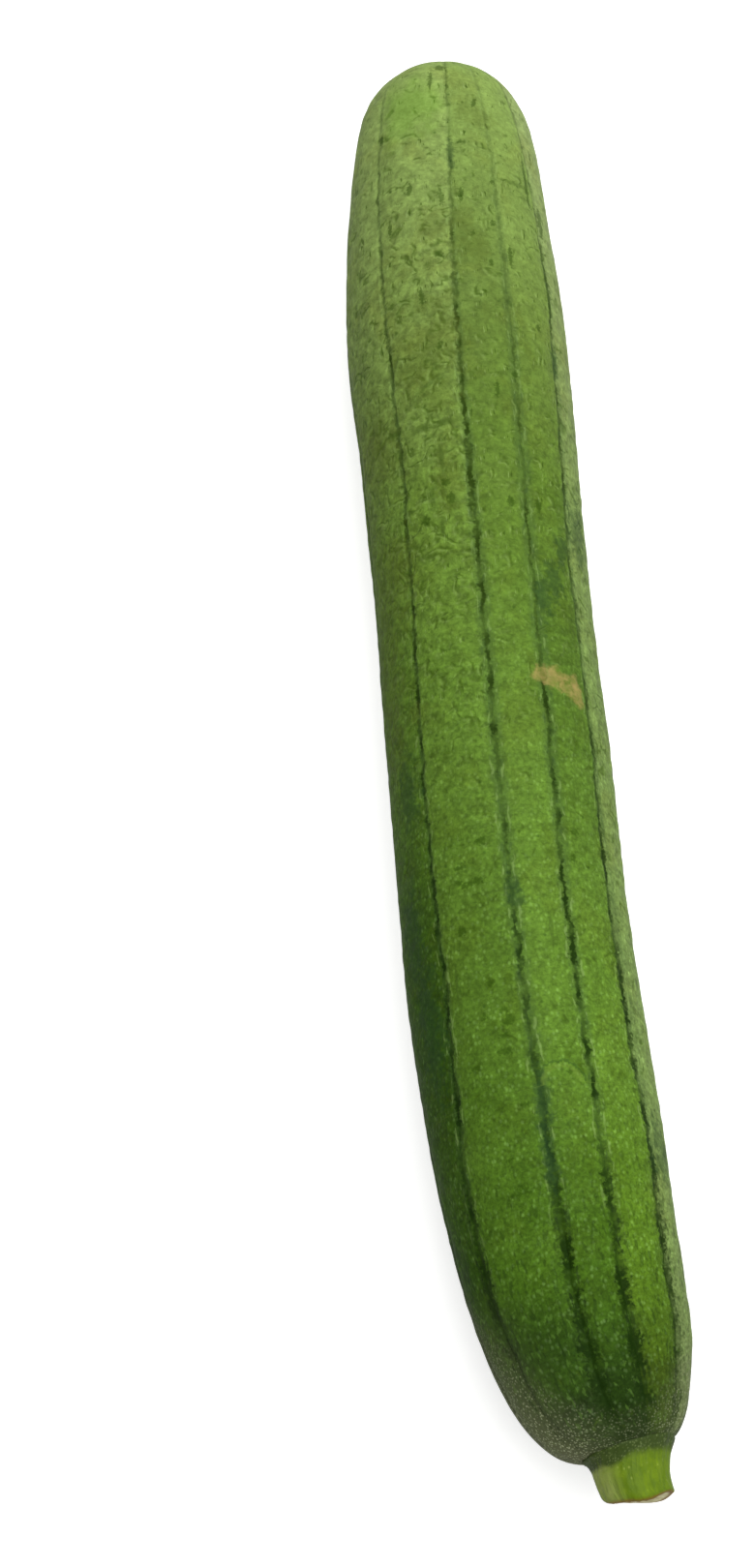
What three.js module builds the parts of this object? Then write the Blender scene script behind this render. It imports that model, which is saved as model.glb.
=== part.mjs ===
// A sponge gourd (smooth luffa), picked with a short stub of its stalk and lying on its side.
// Millimetres, +Z up. The fruit lies along Y: its cut stalk points to -Y and its blossom end to +Y.
// The origin is on the table, under the middle of the whole gourd.
import * as THREE from "three";

// ---- Driving dimensions -----------------------------------------------------------------------

// The bent axis, from the middle of the stalk's cut face to the blossom tip. The fruit is nearly
// straight in the middle and hooks sideways at both ends, most of all where the stalk leaves it.
const AXIS_POINTS = [
  [11.6, -176.6, 29.2],
  [10.9, -166, 28.6],
  [6.1, -147.5, 27.5],
  [2.0, -118, 26.2],
  [-1.1, -60, 25.5],
  [-0.8, 0, 25.5],
  [-0.2, 60, 25.5],
  [0.4, 125, 26.2],
  [3.2, 186.9, 26.0],
];

// The stalk's radius from its foot to its cut end, its five soft ribs, how far its middle bows
// towards -X, and its cut, which reaches further out on the top.
const STALK_LENGTH = 10.6;
const STALK_RADII = [9.3, 8.5, 8.1, 7.8, 7.6];
const STALK_RIBS = { count: 5, height: 0.25 };
const STALK_BOW = 1.1;
const STALK_CUT_SLANT = { side: 0.01, top: 0.13 };
const JOINT_GAP = 0.3; // hairline between the stalk's foot and the fruit

// Radius of the fruit's girth at even steps from the stalk joint to the blossom tip, before its
// ends are rounded off.
const GIRTH_RADII = [21.7, 26.1, 26.3, 26.0, 26.9, 21.2];
const SHOULDER = { length: 69, power: 5.3, root: 0.58 }; // the blunt end round the stalk
const DOME = { length: 69, power: 8.4, root: 0.5 }; // the rounded blossom end
const FOOT_RADIUS = 8.6; // where the shoulder meets the stalk

// Where the ten lengthwise furrows leave the stalk, in degrees round the axis from the top towards
// +X, and how far they have turned round it when they reach the blossom tip.
const FURROW_ANGLES = [-49, -6.5, 19.5, 47.5, 85, 123, 161, 198, 233, 268];
const FURROW_TURN = 7;
const FURROW_DEPTH = 0.5;
const CREASE_HALF_WIDTH = 0.9; // the sharp line at the bottom of a furrow
const VALLEY_HALF_WIDTH = 3.4; // the soft hollow on both sides of it
const SHOULDER_FURROWS = { depth: 0.7, middle: 24, spread: 20 }; // they deepen near the stalk

const SCAR = { radius: 4.5, height: 1.4 }; // the nub that the flower left on the blossom tip

// ---- Mesh density -----------------------------------------------------------------------------

const COLUMNS_IN_SECTOR = [0, 0.06, 0.16, 0.33, 0.5, 0.67, 0.84, 0.94]; // closer by the furrows
const SHOULDER_RINGS = 15;
const BARREL_RINGS = 28;
const DOME_RINGS = 15;
const STALK_COLUMNS = 40;
const STALK_RINGS = 9;

// ---- The axis and the sections across it ------------------------------------------------------

const axis = new THREE.CatmullRomCurve3(
  AXIS_POINTS.map((point) => new THREE.Vector3(...point)),
  false,
  "catmullrom",
);
axis.arcLengthDivisions = 2000;
const axisLength = axis.getLength();
const fruitLength = axisLength - STALK_LENGTH;
const UP = new THREE.Vector3(0, 0, 1);

// The section across the axis at a distance from the stalk joint, negative inside the stalk.
function sectionAt(distance) {
  const share = THREE.MathUtils.clamp((distance + STALK_LENGTH) / axisLength, 0, 1);
  const centre = axis.getPointAt(share);
  const along = axis.getTangentAt(share);
  const side = new THREE.Vector3().crossVectors(along, UP).normalize();
  const up = new THREE.Vector3().crossVectors(side, along);
  return { centre, along, side, up };
}

// A point at a radius and an angle round a section, moved along the axis by a lift.
function pointOn(section, radius, angle, lift = 0) {
  return section.centre
    .clone()
    .addScaledVector(section.side, radius * Math.sin(angle))
    .addScaledVector(section.up, radius * Math.cos(angle))
    .addScaledVector(section.along, lift);
}

// ---- The fruit's radius -----------------------------------------------------------------------

const girth = new THREE.CatmullRomCurve3(
  GIRTH_RADII.map((radius, i) => new THREE.Vector3(i, radius, 0)),
  false,
  "catmullrom",
);

// Rises from 0 to 1 over an end's length, steeply at first and then level, as a superellipse does.
function roundedEnd(distance, end) {
  const left = 1 - THREE.MathUtils.clamp(distance / end.length, 0, 1);
  return (1 - left ** end.power) ** end.root;
}

function crownRadius(distance) {
  const full = girth.getPoint(distance / fruitLength).y;
  const shoulder = roundedEnd(distance, SHOULDER);
  const dome = roundedEnd(fruitLength - distance, DOME);
  return (FOOT_RADIUS + (full - FOOT_RADIUS) * shoulder) * dome;
}

const bell = (value) => Math.exp(-value * value);

// How far a furrow's bottom lies under the crowns beside it. It fades with the radius at the tip.
function furrowDepth(distance, radius) {
  const { depth, middle, spread } = SHOULDER_FURROWS;
  const deep = FURROW_DEPTH + depth * bell((distance - middle) / spread);
  return deep * Math.min(1, radius / GIRTH_RADII[0]);
}

// ---- Closed meshes from rings -----------------------------------------------------------------

// Rings of points that follow each other along the axis, closed at both ends by a middle point.
function closedTube(rings, firstMiddle, lastMiddle) {
  const count = rings[0].length;
  const points = [...rings.flat(), firstMiddle, lastMiddle];
  const first = points.length - 2;
  const last = points.length - 1;
  const index = [];
  for (let ring = 0; ring < rings.length - 1; ring++) {
    for (let column = 0; column < count; column++) {
      const next = (column + 1) % count;
      const a = ring * count + column;
      const b = ring * count + next;
      index.push(a, b, a + count, b, b + count, a + count);
    }
  }
  const lastRing = (rings.length - 1) * count;
  for (let column = 0; column < count; column++) {
    const next = (column + 1) % count;
    index.push(first, next, column);
    index.push(last, lastRing + column, lastRing + next);
  }
  const geometry = new THREE.BufferGeometry().setFromPoints(points);
  geometry.setIndex(index);
  geometry.computeVertexNormals();
  return geometry;
}

// ---- Fruit ------------------------------------------------------------------------------------

// Ring distances: close together where the ends round over, and even along the barrel.
function fruitDistances() {
  const quarter = Math.PI / 2;
  const barrel = fruitLength - SHOULDER.length - DOME.length;
  const distances = [];
  for (let i = 0; i < SHOULDER_RINGS; i++) {
    distances.push(SHOULDER.length * (1 - Math.cos((quarter * i) / SHOULDER_RINGS)));
  }
  for (let i = 0; i < BARREL_RINGS; i++) {
    distances.push(SHOULDER.length + (barrel * i) / BARREL_RINGS);
  }
  for (let i = 0; i < DOME_RINGS; i++) {
    const rest = 1 - Math.sin((quarter * i) / DOME_RINGS);
    distances.push(fruitLength - DOME.length * rest);
  }
  return distances;
}

// Every column's angle at the stalk and its distance from the nearest furrow, in radians.
function fruitColumns() {
  return FURROW_ANGLES.flatMap((angle, i) => {
    const next = FURROW_ANGLES[i + 1] ?? FURROW_ANGLES[0] + 360;
    const sector = next - angle;
    return COLUMNS_IN_SECTOR.map((share) => ({
      angle: THREE.MathUtils.degToRad(angle + share * sector),
      fromFurrow: THREE.MathUtils.degToRad(Math.min(share, 1 - share) * sector),
    }));
  });
}

// The scar rises over the tip as a low rounded nub.
function scarLift(radius) {
  const share = Math.min(1, radius / SCAR.radius);
  return SCAR.height * (1 - share * share) ** 2;
}

// A fruit under its own weight flattens a little where it lies on the table.
function onTable(point) {
  point.z = Math.max(0, point.z);
  return point;
}

function fruitGeometry() {
  const columns = fruitColumns();
  const rings = fruitDistances().map((distance) => {
    const section = sectionAt(distance);
    const crown = crownRadius(distance);
    const depth = furrowDepth(distance, crown);
    const turn = THREE.MathUtils.degToRad((FURROW_TURN * distance) / fruitLength);
    return columns.map(({ angle, fromFurrow }) => {
      const gap = fromFurrow * crown;
      const crease = bell(gap / CREASE_HALF_WIDTH);
      const valley = bell(gap / VALLEY_HALF_WIDTH);
      const radius = crown - (depth * (crease + valley)) / 2;
      return onTable(pointOn(section, radius, angle + turn, scarLift(radius)));
    });
  });
  const joint = sectionAt(0).centre;
  const tip = pointOn(sectionAt(fruitLength), 0, 0, SCAR.height);
  return closedTube(rings, joint, tip);
}

// ---- Stalk ------------------------------------------------------------------------------------

const stalkProfile = new THREE.CatmullRomCurve3(
  STALK_RADII.map((radius, i) => new THREE.Vector3(i, radius, 0)),
  false,
  "catmullrom",
);

function stalkGeometry() {
  const rings = [];
  for (let ring = 0; ring <= STALK_RINGS; ring++) {
    const toCut = 1 - ring / STALK_RINGS; // 1 at the cut face, 0 at the foot
    const distance = -JOINT_GAP - toCut * (STALK_LENGTH - JOINT_GAP);
    const section = sectionAt(distance);
    section.centre.addScaledVector(section.side, -STALK_BOW * Math.sin(Math.PI * toCut));
    const points = [];
    for (let column = 0; column < STALK_COLUMNS; column++) {
      const angle = (2 * Math.PI * column) / STALK_COLUMNS;
      const rib = STALK_RIBS.height * toCut * Math.cos(STALK_RIBS.count * angle);
      const radius = stalkProfile.getPoint(toCut).y + rib;
      const { side, top } = STALK_CUT_SLANT;
      const slant = radius * (side * Math.sin(angle) + top * Math.cos(angle));
      points.push(pointOn(section, radius, angle, -slant * toCut * toCut));
    }
    rings.push(points);
  }
  const cutMiddle = sectionAt(-STALK_LENGTH).centre;
  const footMiddle = sectionAt(-JOINT_GAP).centre;
  return closedTube(rings, cutMiddle, footMiddle);
}

// ---- Scene graph ------------------------------------------------------------------------------

const fruitSkin = new THREE.MeshStandardMaterial({ color: 0x64893a, roughness: 0.55 });
const stalkSkin = new THREE.MeshStandardMaterial({ color: 0x83a03a, roughness: 0.6 });

function namedMesh(name, geometry, material) {
  const mesh = new THREE.Mesh(geometry, material);
  mesh.name = name;
  return mesh;
}

const gourd = new THREE.Group();
gourd.add(
  namedMesh("fruit", fruitGeometry(), fruitSkin),
  namedMesh("stalk", stalkGeometry(), stalkSkin),
);

// Puts the origin under the middle of the gourd's outline on the table.
const outline = new THREE.Box3().setFromObject(gourd, true);
const middle = outline.getCenter(new THREE.Vector3());
gourd.position.set(-middle.x, -middle.y, 0);

export default gourd;
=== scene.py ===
# %% [markdown]
# # A sponge gourd
#
# A sponge gourd, or smooth luffa, is a long green fruit of the squash family. Ten shallow furrows
# run from its cut stalk to its blossom end. Its skin is dry and satiny, nearly black in the
# furrows, deep green at the stalk and pale sage at the far end.
#
# The solid parts of this gourd are already made, to size. This lesson dresses them: it lays a
# finer skin over each one and gives it a finish. The first cell loads those parts as a fixed frame,
# whose box later sets where the skin lies.

# %% Load the frame
import math

import bpy
import numpy as np
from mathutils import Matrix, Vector


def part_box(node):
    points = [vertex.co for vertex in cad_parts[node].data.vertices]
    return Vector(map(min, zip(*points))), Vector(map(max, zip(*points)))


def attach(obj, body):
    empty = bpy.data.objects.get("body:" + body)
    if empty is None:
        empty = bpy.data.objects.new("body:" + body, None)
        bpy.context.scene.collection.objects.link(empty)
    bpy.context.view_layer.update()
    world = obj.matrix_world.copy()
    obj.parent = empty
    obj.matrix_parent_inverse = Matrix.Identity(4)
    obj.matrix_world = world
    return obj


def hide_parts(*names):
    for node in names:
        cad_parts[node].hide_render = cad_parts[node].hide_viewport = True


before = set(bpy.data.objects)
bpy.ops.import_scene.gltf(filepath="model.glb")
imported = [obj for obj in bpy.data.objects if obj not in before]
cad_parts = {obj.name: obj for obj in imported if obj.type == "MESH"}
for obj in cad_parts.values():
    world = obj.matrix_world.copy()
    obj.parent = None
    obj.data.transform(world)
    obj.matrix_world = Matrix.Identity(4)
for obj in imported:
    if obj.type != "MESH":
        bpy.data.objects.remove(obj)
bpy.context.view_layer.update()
MM = 0.001  # shapes are worked out in millimetres, and meshes hold metres

print("nodes", sorted(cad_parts))

# %% [markdown]
# ## The camera
#
# The gourd lies on a table, and the camera looks down on it from the stalk's side. A lens somewhat
# longer than normal, from arm's length, keeps the two ends nearly the same width, as the eye does.
# The camera is placed by what it looks at, how far away it is and its two angles, because those
# four values are easier to judge than a position and a rotation. The gourd stays right of the
# middle of the picture, so the camera aims at the table to the left of it.

# %% Place the camera
AIM = (-0.0288, -0.0030, 0.0)
DISTANCE = 0.70
LENS = 66  # millimetres
AZIMUTH = math.radians(-4.9)
ELEVATION = math.radians(68)

scene = bpy.context.scene
backwards = Vector((
    math.sin(AZIMUTH) * math.cos(ELEVATION),
    -math.cos(AZIMUTH) * math.cos(ELEVATION),
    math.sin(ELEVATION),
))
camera = bpy.data.objects.new("camera", bpy.data.cameras.new("camera"))
camera.data.lens = LENS
camera.location = Vector(AIM) + DISTANCE * backwards
camera.rotation_euler = (-backwards).to_track_quat("-Z", "Y").to_euler()
scene.collection.objects.link(camera)
scene.camera = camera
print("camera at", [round(value, 3) for value in camera.location])

# %% [markdown]
# ## Small tools for node trees
#
# The light of the room, the floor and every finish are trees of shader nodes. Written out in full,
# each node takes several lines, so a few short helpers carry this lesson. They all work on the tree
# that is open, which is always named tree: they add a node and join its inputs, do one step of
# arithmetic, or spread a value over another range.

# %% Helpers for shader nodes
def add(kind, inputs, output=0, **settings):
    """Adds a shader node and gives back one of its outputs. Each input is set to a value, or joined
    where the value is another node's output."""
    node = tree.nodes.new("ShaderNode" + kind)
    for key, value in settings.items():
        setattr(node, key, value)
    for key, value in inputs.items():
        if isinstance(value, bpy.types.NodeSocket):
            tree.links.new(value, node.inputs[key])
        else:
            node.inputs[key].default_value = value
    return node.outputs[output]


def maths(operation, first, second=0.0, **settings):
    """One step of arithmetic."""
    return add("Math", {0: first, 1: second}, operation=operation, **settings)


def times(first, second, **settings):
    return maths("MULTIPLY", first, second, **settings)


def spread(value, to_low, to_high, low=0.0, high=1.0, **settings):
    """Goes evenly from to_low to to_high as the value goes from low to high, and no further."""
    inputs = {"Value": value, "From Min": low, "From Max": high}
    return add("MapRange", {**inputs, "To Min": to_low, "To Max": to_high}, **settings)


def start_finish(name):
    """A new material, with its tree and the shader in it."""
    finish = bpy.data.materials.new(name)
    finish.use_nodes = True
    return finish, finish.node_tree, finish.node_tree.nodes["Principled BSDF"]


# %% [markdown]
# ## Floor and light
#
# A matte green skin shows its colours best under broad, soft light, because a small lamp would
# leave a hard glint on it. So the whole room is bright, but weaker from the left, which rounds the
# gourd off on that side. One large soft panel hangs above and to the right, and a weak one lifts
# the blossom end. The floor is plain and pale. To the camera alone it glows a little and the room
# is pure white, so the ground looks white and the light on the gourd stays as it is. Standard
# colour management keeps whites white and greens true.

# %% Make the floor and the lights
PANEL_AIM = Vector((0.0, 0.0, 0.02))
ROOM_FROM_LEFT, ROOM_FROM_RIGHT = 0.10, 0.70
FLOOR_HALF = 3.0
FLOOR_COLOUR, FLOOR_ROUGHNESS = (0.7, 0.7, 0.69, 1.0), 0.9
FLOOR_GLOW = 0.62
WHITE = (1.0, 1.0, 1.0, 1.0)


def soft_panel(name, place, size, power):
    """A square light of the given width in metres, turned to face the gourd."""
    light = bpy.data.lights.new(name, "AREA")
    light.size = size
    light.energy = power
    panel = bpy.data.objects.new(name, light)
    panel.location = place
    towards = PANEL_AIM - Vector(place)
    panel.rotation_euler = towards.to_track_quat("-Z", "Y").to_euler()
    scene.collection.objects.link(panel)


soft_panel("panel_above", (0.16, -0.05, 1.2), 1.1, 14.5)
soft_panel("panel_far_end", (0.1, 0.95, 0.7), 0.6, 2.4)

world = bpy.data.worlds.new("bright_room")
scene.world = world
world.use_nodes = True
tree = world.node_tree
sky = tree.nodes["Background"]
sky.inputs["Color"].default_value = WHITE
direction = add("TexCoord", {}, output="Generated")
sideways = add("SeparateXYZ", {0: direction})
room = spread(sideways, ROOM_FROM_LEFT, ROOM_FROM_RIGHT, low=-1.0)
seen = add("LightPath", {}, output="Is Camera Ray")
tree.links.new(maths("MAXIMUM", room, seen), sky.inputs["Strength"])
scene.view_settings.view_transform = "Standard"

floor_mesh = bpy.data.meshes.new("floor")
corners = FLOOR_HALF * np.array([(-1, -1, 0), (1, -1, 0), (1, 1, 0), (-1, 1, 0)], float)
floor_mesh.from_pydata(corners.tolist(), [], [(0, 1, 2, 3)])
floor = bpy.data.objects.new("floor", floor_mesh)
scene.collection.objects.link(floor)

finish, tree, shader = start_finish("white_table")
shader.inputs["Base Color"].default_value = FLOOR_COLOUR
shader.inputs["Roughness"].default_value = FLOOR_ROUGHNESS
shader.inputs["Emission Color"].default_value = WHITE
seen = add("LightPath", {}, output="Is Camera Ray")
tree.links.new(times(seen, FLOOR_GLOW), shader.inputs["Emission Strength"])
floor_mesh.materials.append(finish)
print("lights and floor", [made.name for made in bpy.data.lights], floor.name)

# %% [markdown]
# ## The bent axis
#
# A gourd is a body of rings threaded on a bent line, its axis. The line is nearly straight in the
# middle and hooks sideways at both ends. It could be a Blender curve with a bevel, but then every
# ring would be a plain circle. Here the line is a Catmull-Rom curve worked out with numpy, and each
# point of the skin is placed from the section across it: sideways, upwards and along.

# %% Follow the axis
AXIS_POINTS = [
    (11.6, -176.6, 29.2), (10.9, -166, 28.6), (6.1, -147.5, 27.5), (2.0, -118, 26.2),
    (-1.1, -60, 25.5), (-0.8, 0, 25.5), (-0.2, 60, 25.5), (0.4, 125, 26.2), (3.2, 186.9, 26.0),
]
STALK_LENGTH = 10.6
AXIS_STEPS = 4000  # fine enough to measure along the axis


def catmull_rom(points, share):
    """A smooth curve through points, at shares from 0 to 1.

    Between two points it is the cubic whose slope at each point is half the step between that
    point's neighbours. A mirrored point stands before the first one and after the last one.
    """
    points = np.asarray(points, float).reshape(len(points), -1)
    padded = np.vstack([2 * points[0] - points[1], points, 2 * points[-1] - points[-2]])
    steps = len(points) - 1
    at = np.clip(np.ravel(share) * steps, 0, steps - 1e-9)
    first = at.astype(int)
    w = (at - first)[:, None]
    a, b, c, d = (padded[first + i] for i in range(4))
    return b + 0.5 * w * (c - a + w * (2 * a - 5 * b + 4 * c - d + w * (3 * (b - c) + d - a)))


fine_share = np.linspace(0, 1, AXIS_STEPS + 1)
fine_axis = catmull_rom(AXIS_POINTS, fine_share)
steps_along = np.linalg.norm(np.diff(fine_axis, axis=0), axis=1)
fine_distance = np.concatenate([[0], np.cumsum(steps_along)]) - STALK_LENGTH
FRUIT_LENGTH = fine_distance[-1]
print("fruit length along its axis", round(float(FRUIT_LENGTH), 1), "mm")

# %% Lay sections across the axis
NUDGE = 0.0005  # a small share of the axis, to find its direction with


def sections(distance):
    """The section across the axis at each distance from the stalk joint, in millimetres.

    The centre is the point of the axis at that distance, and along is the axis's direction there.
    Side is the level direction across it, and up is at right angles to both.
    """
    share = np.interp(distance, fine_distance, fine_share)
    centre = catmull_rom(AXIS_POINTS, share)
    ahead = catmull_rom(AXIS_POINTS, np.minimum(share + NUDGE, 1))
    behind = catmull_rom(AXIS_POINTS, np.maximum(share - NUDGE, 0))
    along = (ahead - behind) / np.linalg.norm(ahead - behind, axis=1, keepdims=True)
    side = np.cross(along, (0, 0, 1))
    side /= np.linalg.norm(side, axis=1, keepdims=True)
    return centre, along, side, np.cross(side, along)


def on_sections(distance, radius, angle, lift=0.0):
    """Points at a radius and an angle round each section: one row per distance, one column per
    angle. Each point is centre + radius * (sin(angle) * side + cos(angle) * up) + lift * along."""
    centre, along, side, up = (part[:, None, :] for part in sections(distance))
    radius, angle = radius[..., None], angle[..., None]
    lift = np.broadcast_to(lift, radius.shape[:2])[..., None]
    return centre + radius * (np.sin(angle) * side + np.cos(angle) * up) + lift * along


joint_centre, joint_along = sections([0.0])[:2]
print("at the stalk joint the axis points to", joint_along[0].round(2))

# %% [markdown]
# ## Girth and rounded ends
#
# The fruit's girth hardly changes, so one short list of radii gives it. Both ends are closed by the
# curve of a superellipse, which rises steeply at the very end and then levels off: a blunt shoulder
# round the stalk and a longer dome at the blossom end.

# %% Work out the radius of the crowns
GIRTH_RADII = [21.7, 26.1, 26.3, 26.0, 26.9, 21.2]
FOOT_RADIUS = 8.6
SHOULDER_LENGTH, SHOULDER_POWER, SHOULDER_ROOT = 69, 5.3, 0.58
DOME_LENGTH, DOME_POWER, DOME_ROOT = 69, 8.4, 0.5


def rounded_end(share, power, root):
    """Rises from 0 to 1 as (1 - (1 - share) ** power) ** root."""
    return (1 - (1 - np.clip(share, 0, 1)) ** power) ** root


def crown_radius(distance):
    """The girth, drawn in at both ends: from the foot of the stalk it rises over the shoulder,
    and it falls to nothing over the dome."""
    girth = catmull_rom(GIRTH_RADII, distance / FRUIT_LENGTH)[:, 0]
    shoulder = rounded_end(distance / SHOULDER_LENGTH, SHOULDER_POWER, SHOULDER_ROOT)
    dome = rounded_end((FRUIT_LENGTH - distance) / DOME_LENGTH, DOME_POWER, DOME_ROOT)
    return (FOOT_RADIUS + (girth - FOOT_RADIUS) * shoulder) * dome


def ring_distances(shoulder_rings, barrel_rings, dome_rings):
    """Distances of the skin's rings: evenly along the barrel, and closer where the ends curl in,
    as equal steps round a quarter circle fall closer together towards its end."""
    quarter = np.pi / 2
    shoulder = SHOULDER_LENGTH * (1 - np.cos(quarter * np.arange(shoulder_rings) / shoulder_rings))
    barrel_length = FRUIT_LENGTH - SHOULDER_LENGTH - DOME_LENGTH
    barrel = SHOULDER_LENGTH + barrel_length * np.arange(barrel_rings) / barrel_rings
    dome = 1 - np.sin(quarter * np.arange(dome_rings) / dome_rings)
    return np.concatenate([shoulder, barrel, FRUIT_LENGTH - DOME_LENGTH * dome])


distances = ring_distances(shoulder_rings=70, barrel_rings=190, dome_rings=60)
shares_of_way = distances / FRUIT_LENGTH
crowns = crown_radius(distances)
print(len(distances), "rings; thickest", round(2 * float(crowns.max()), 1), "mm")

# %% [markdown]
# ## Ten wandering furrows
#
# The furrows are what makes this gourd a sponge gourd. They are sharp, so a texture on an even grid
# would blur or step them. Instead the grid itself follows them: ten columns of the skin run along
# the furrows, and the columns between are drawn close beside them and wide apart on the ribs. Each
# furrow drifts slowly and jitters finely, as a line that a growing fruit has stretched. Both are
# sums of sine waves with seeded phases, so the same gourd grows each time.

# %% Lay out the columns
FURROW_ANGLES = np.array([161, 198, 233, 268, 311, 353.5, 379.5, 407.5, 445, 483])
FURROWS = len(FURROW_ANGLES)
FURROW_TURN = 7  # degrees from the stalk to the blossom tip
COLUMNS_PER_SECTOR = 30
CLOSENESS = 0.78  # 0 spaces the columns evenly, and 1 brings them together at the furrows
DRIFT = ([170, 83, 41], [0.8, 0.4, 0.2])  # wave lengths and heights in millimetres
JITTER = ([31, 17, 9.7, 6.1, 4.3], [0.12, 0.12, 0.10, 0.08, 0.06])
random = np.random.default_rng(seed=41)


def wander(distance, lengths, heights):
    """Sum of sine waves of those lengths and heights in millimetres, with random phases."""
    phases = random.uniform(0, 2 * np.pi, len(lengths))
    waves = np.sin(2 * np.pi * distance[:, None] / np.array(lengths) + phases)
    return waves @ np.array(heights)


shares = np.arange(COLUMNS_PER_SECTOR) / COLUMNS_PER_SECTOR
shares = shares - CLOSENESS * np.sin(2 * np.pi * shares) / (2 * np.pi)

# How far the four furrows on top stray from an even turn, in degrees, at even steps from the stalk.
STRAYING = {
    4: [-9, -6.6, 1.6, -0.8, 1.2, 2.0, -1.9, -4.4],
    5: [-6, -0.3, 0, -1.5, -2, -2, 0, 1.5],
    6: [-3, 0.6, 0.9, 0.4, 0.4, 0.8, 0.2, -2.5],
    7: [4, 3.8, 1.6, 0.8, 0.4, 2.0, 2.5, -8],
}

# Sideways wandering in millimetres becomes an angle by dividing it by the radius, which is kept
# above a least one so that the lines don't swing at the tip. Both ends are calm.
LEAST_RADIUS = 12
CALM_START, CALM_END = 25, 30
girth_radius = np.maximum(crowns, LEAST_RADIUS)
paths = []
for furrow, angle in enumerate(FURROW_ANGLES):
    if furrow in STRAYING:
        drift = np.radians(catmull_rom(STRAYING[furrow], shares_of_way)[:, 0])
    else:
        drift = wander(distances, *DRIFT) / girth_radius
    jitter = wander(distances, *JITTER)
    calm = np.clip(distances / CALM_START, 0, 1)
    calm = calm * np.clip((FRUIT_LENGTH - distances) / CALM_END, 0, 1)
    turned = np.radians(angle + FURROW_TURN * distances / FRUIT_LENGTH)
    paths.append(turned + drift + calm * jitter / girth_radius)
paths.append(paths[0] + 2 * np.pi)
paths = np.array(paths)

starts, widths = paths[:-1, :, None], np.diff(paths, axis=0)[:, :, None]
angles = np.concatenate(starts + widths * shares, axis=1)
nearest = np.concatenate(widths * np.minimum(shares, 1 - shares), axis=1)
furrow_distance = nearest * crowns[:, None]
sector = np.repeat(np.arange(FURROWS), COLUMNS_PER_SECTOR)
past_middle = np.tile(shares > 0.5, FURROWS)  # where the next furrow is the nearer one
nearest_furrow = (sector + past_middle) % FURROWS
half_way = len(distances) // 2
closest = float(np.diff(angles[half_way]).min() * crowns[half_way])
print(angles.shape[1], "columns, closest", round(closest, 2), "mm")

# %% [markdown]
# ## Relief
#
# The skin is never even. Each furrow is a sharp crease in a soft valley, deeper near the stalk.
# Slow swellings and shallow cross wrinkles come from sums of plane waves: cosines along seeded
# directions, evaluated at the point that the skin would have if the fruit were pulled straight.
# Working on that straight fruit keeps the pattern even round the bends and free of seams. Where the
# gourd lies on the table its soft flesh gives, so nothing goes below the floor.

# %% Shape the skin
VALLEY_DEPTH, VALLEY_WIDTH = 0.26, 3.0
CREASE_DEPTH, CREASE_WIDTH = 0.12, 0.6
DEEP_AT, DEEP_SPREAD, DEEPER = 24, 22, 1.5  # how far from the stalk, and how much deeper, they are
FULL_RADIUS = 23.6  # where the fruit is narrower, the furrows are shallower
PATCHINESS, LEAST_PATCH, MOST_PATCH = 0.3, 0.3, 1.7  # how unevenly deep they are along their way
SWELLING, DIMPLES, WRINKLES = 0.11, 0.035, 0.03  # heights in millimetres
CALM_RADIUS = 20  # where the fruit is narrower, those three fade
NUB_RADIUS, NUB_HEIGHT = 4.5, 1.4  # the scar that the flower left


def bell(value):
    """1 at 0, falling to both sides as exp(-value squared)."""
    return np.exp(-value * value)


def pulled_straight(radius, angle, distance):
    """Points round a straight axis: side and up by the radius and the angle, along it by the
    distance."""
    parts = radius * np.sin(angle), distance, radius * np.cos(angle)
    return np.stack(np.broadcast_arrays(*parts), axis=-1)


def plane_waves(points, lengths, count=24, flatten=(1, 1, 1)):
    """Smooth noise with a spread of about 1: count cosines along random directions, with wave
    lengths between the two given. flatten scales a direction's share, so that waves run across or
    along the fruit."""
    directions = random.normal(size=(count, 3)) * flatten
    directions /= np.linalg.norm(directions, axis=1, keepdims=True)
    wave_numbers = 2 * np.pi / random.uniform(*lengths, count)
    phases = random.uniform(0, 2 * np.pi, count)
    total = np.zeros(points.shape[:-1])
    for direction, wave_number, phase in zip(directions, wave_numbers, phases):
        total += np.cos(points @ (direction * wave_number) + phase)
    return total * np.sqrt(2 / count)


straight = pulled_straight(crowns[:, None], angles, distances[:, None])
near_stalk = bell((distances - DEEP_AT) / DEEP_SPREAD)[:, None]
patchiness = 1 + PATCHINESS * plane_waves(straight, (14, 40))
deepness = np.clip(patchiness, LEAST_PATCH, MOST_PATCH) * (1 + DEEPER * near_stalk)
furrows = deepness * np.minimum(1, crowns / FULL_RADIUS)[:, None] * (
    VALLEY_DEPTH * bell(furrow_distance / VALLEY_WIDTH)
    + CREASE_DEPTH * bell(furrow_distance / CREASE_WIDTH)
)
swelling = SWELLING * plane_waves(straight, (28, 70))
dimples = DIMPLES * plane_waves(straight, (6, 14), count=40)
wrinkles = WRINKLES * plane_waves(straight, (3.2, 7), count=40, flatten=(0.3, 1, 0.3))
calm_ends = np.minimum(1, crowns / CALM_RADIUS)[:, None]
radii = crowns[:, None] - furrows + calm_ends * (swelling + dimples + wrinkles)

nub_share = np.clip(radii / NUB_RADIUS, 0, 1)
lift = NUB_HEIGHT * (1 - nub_share ** 2) ** 2
skin_points = on_sections(distances, radii, angles, lift)
skin_points[..., 2] = np.maximum(skin_points[..., 2], 0)
print("furrows up to", round(float(furrows.max()), 2), "mm deep")

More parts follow.
